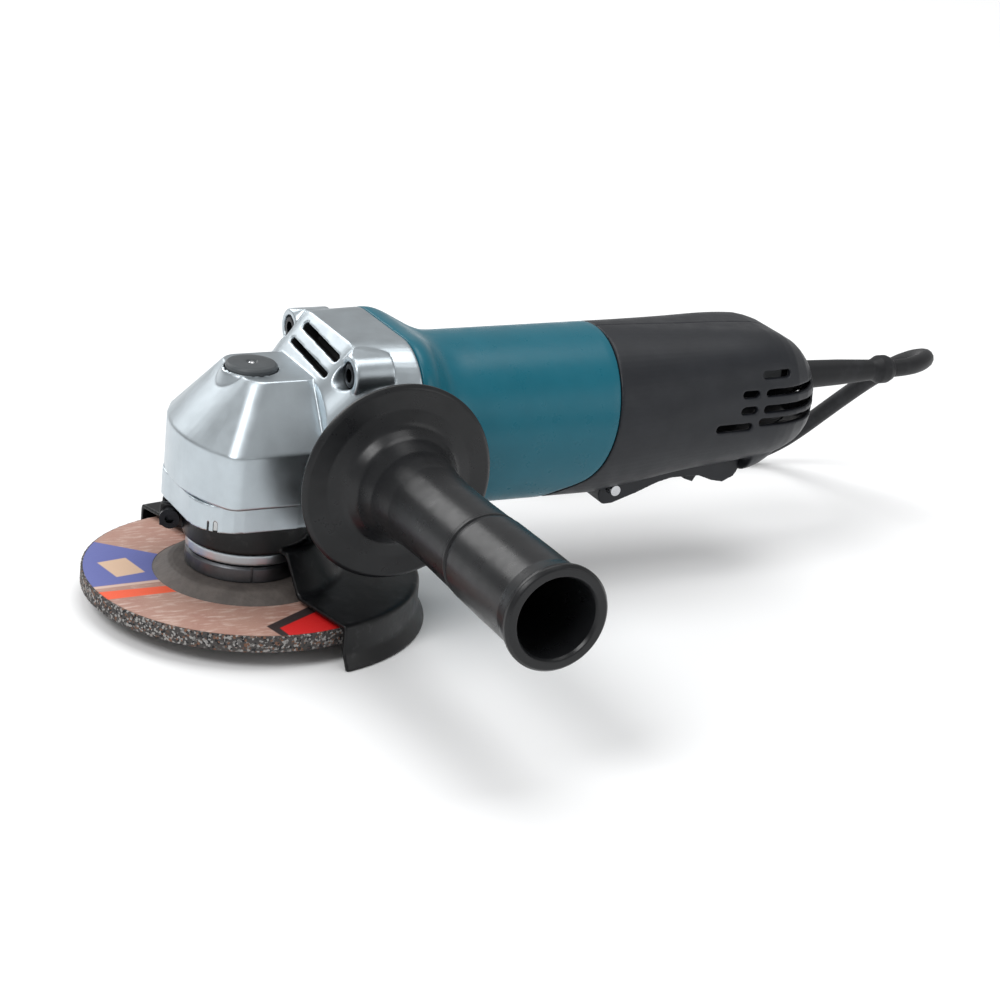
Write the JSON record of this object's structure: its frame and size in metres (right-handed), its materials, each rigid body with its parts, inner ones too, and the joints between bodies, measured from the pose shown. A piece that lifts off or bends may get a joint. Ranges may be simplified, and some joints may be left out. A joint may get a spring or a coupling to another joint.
{
  "type": "angle grinder",
  "caption": "Corded angle grinder with a grinding wheel, adjustable guard, side handle, shaft lock and paddle switch.",
  "frame": {"origin": "on the spindle axis, at the outer face of the lock nut", "axes": "+Z along the spindle, from the wheel towards the motor; +X along the motor axis towards the cord; the side handle points to -Y"},
  "size_m": [0.3618, 0.3691, 0.1033],
  "materials": {
    "cast_aluminium": "tumbled and polished casting, satin",
    "black_steel": "black oxide, satin",
    "dark_plastic": "moulded, fine grain",
    "machined_steel": "turned",
    "spring_steel": "drawn wire",
    "sintered_bronze": "sintered, oily",
    "gear_steel": "hardened, ground teeth",
    "bearing_steel": "ground",
    "zinc_plate": "zinc plated",
    "guard_paint": "black powder coat, satin",
    "flange_steel": "phosphated, turned",
    "abrasive": "resin bonded grit with a paper label",
    "grip_plastic": "moulded, satin",
    "teal_plastic": "moulded nylon, satin",
    "cream_plastic": "moulded",
    "lamination": "stacked laminations, varnished",
    "copper_wire": "varnished winding wire",
    "copper_bars": "turned copper",
    "soft_rubber": "matte",
    "brass": "pressed sheet",
    "carbon": "pressed carbon",
    "charcoal_plastic": "moulded, fine spark texture",
    "lever_plastic": "moulded",
    "switch_red": "moulded",
    "cord_rubber": "rubber sheath, matte",
    "plug_plastic": "moulded",
    "nickel_brass": "nickel plated"
  },
  "bodies": {
    "housing": {"gear_housing": "cast_aluminium", "housing_screws": "black_steel", "shaft_lock_spring": "spring_steel", "upper_bush": "sintered_bronze", "bearing_outer_ring": "bearing_steel", "bearing_balls": "bearing_steel", "bearing_retainer": "zinc_plate", "bearing_box": "cast_aluminium", "bearing_box_screws": "zinc_plate", "side_handle_grip": "grip_plastic", "side_handle_stud": "machined_steel", "motor_housing": "teal_plastic", "baffle_ring": "cream_plastic", "stator_core": "lamination", "field_coils": "copper_wire", "front_outer_ring": "bearing_steel", "rear_outer_ring": "bearing_steel", "rear_bearing_sleeve": "soft_rubber", "brush_holders": "brass", "carbon_brushes": "carbon", "brush_springs": "spring_steel", "handle_left": "charcoal_plastic", "handle_right": "charcoal_plastic", "handle_screws": "zinc_plate", "paddle_pin": "machined_steel", "paddle_spring": "spring_steel", "switch_body": "dark_plastic", "cord_clamp": "dark_plastic", "cord_guard": "cord_rubber", "cord_lead": "cord_rubber", "cord_tube": "cord_rubber", "cord_coil": "cord_rubber", "cord_tail": "cord_rubber", "plug_body": "plug_plastic", "plug_pins": "nickel_brass"},
    "spindle_set": {"spindle": "machined_steel", "bevel_gear": "gear_steel", "gear_clip": "spring_steel", "bearing_inner_ring": "bearing_steel", "inner_flange": "flange_steel", "grinding_wheel": "abrasive", "lock_nut": "black_steel"},
    "rotor": {"armature_shaft": "machined_steel", "armature_core": "lamination", "armature_windings": "copper_wire", "commutator": "copper_bars", "fan": "cream_plastic", "pinion": "gear_steel", "pinion_nut": "zinc_plate", "front_inner_ring": "bearing_steel", "rear_inner_ring": "bearing_steel"},
    "shaft_lock": {"shaft_lock_cap": "dark_plastic", "shaft_lock_pin": "machined_steel"},
    "guard": {"wheel_guard": "guard_paint", "guard_clamp_screw": "black_steel", "guard_clamp_nut": "black_steel"},
    "paddle": {"paddle": "charcoal_plastic", "lock_off_pin": "machined_steel"},
    "lock_off": {"lock_off_lever": "lever_plastic"},
    "plunger": {"switch_plunger": "switch_red"}
  },
  "joints": [
    {"name": "spindle_spin", "type": "hinge", "parent": "housing", "child": "spindle_set", "pos_m": [0, 0, 0], "axis": [0, 0, 1], "continuous": true},
    {"name": "rotor_spin", "type": "hinge", "parent": "housing", "child": "rotor", "pos_m": [0, 0, 0.0593], "axis": [1, 0, 0], "continuous": true},
    {"name": "shaft_lock_press", "type": "slide", "parent": "housing", "child": "shaft_lock", "axis": [0, 0, -1], "range_m": [0, 0.004], "stiffness_N_per_m": 400, "springref_m": -0.004, "deforming": ["shaft_lock_spring"]},
    {"name": "guard_turn", "type": "hinge", "parent": "housing", "child": "guard", "pos_m": [0, 0, 0], "axis": [0, 0, 1], "range_deg": [-60, 60]},
    {"name": "paddle_press", "type": "hinge", "parent": "housing", "child": "paddle", "pos_m": [0.1415, 0, 0.031], "axis": [0, -1, 0], "range_deg": [0, 4.5], "stiffness_Nm_per_rad": 1.5, "springref_deg": -6.88, "deforming": ["paddle_spring"]},
    {"name": "lock_off_tilt", "type": "hinge", "parent": "paddle", "child": "lock_off", "pos_m": [0.1845, 0, 0.0375], "axis": [0, 1, 0], "range_deg": [0, 30], "stiffness_Nm_per_rad": 0.02, "springref_deg": -34.38},
    {"name": "plunger_travel", "type": "slide", "parent": "housing", "child": "plunger", "axis": [0, 0, 1], "range_m": [0, 0.0025]}
  ],
  "couplings": [
    {"joint": "rotor_spin", "follows": "spindle_spin", "ratio": 3.0833},
    {"joint": "plunger_travel", "follows": "paddle_press", "m_per_rad": 0.03}
  ]
}
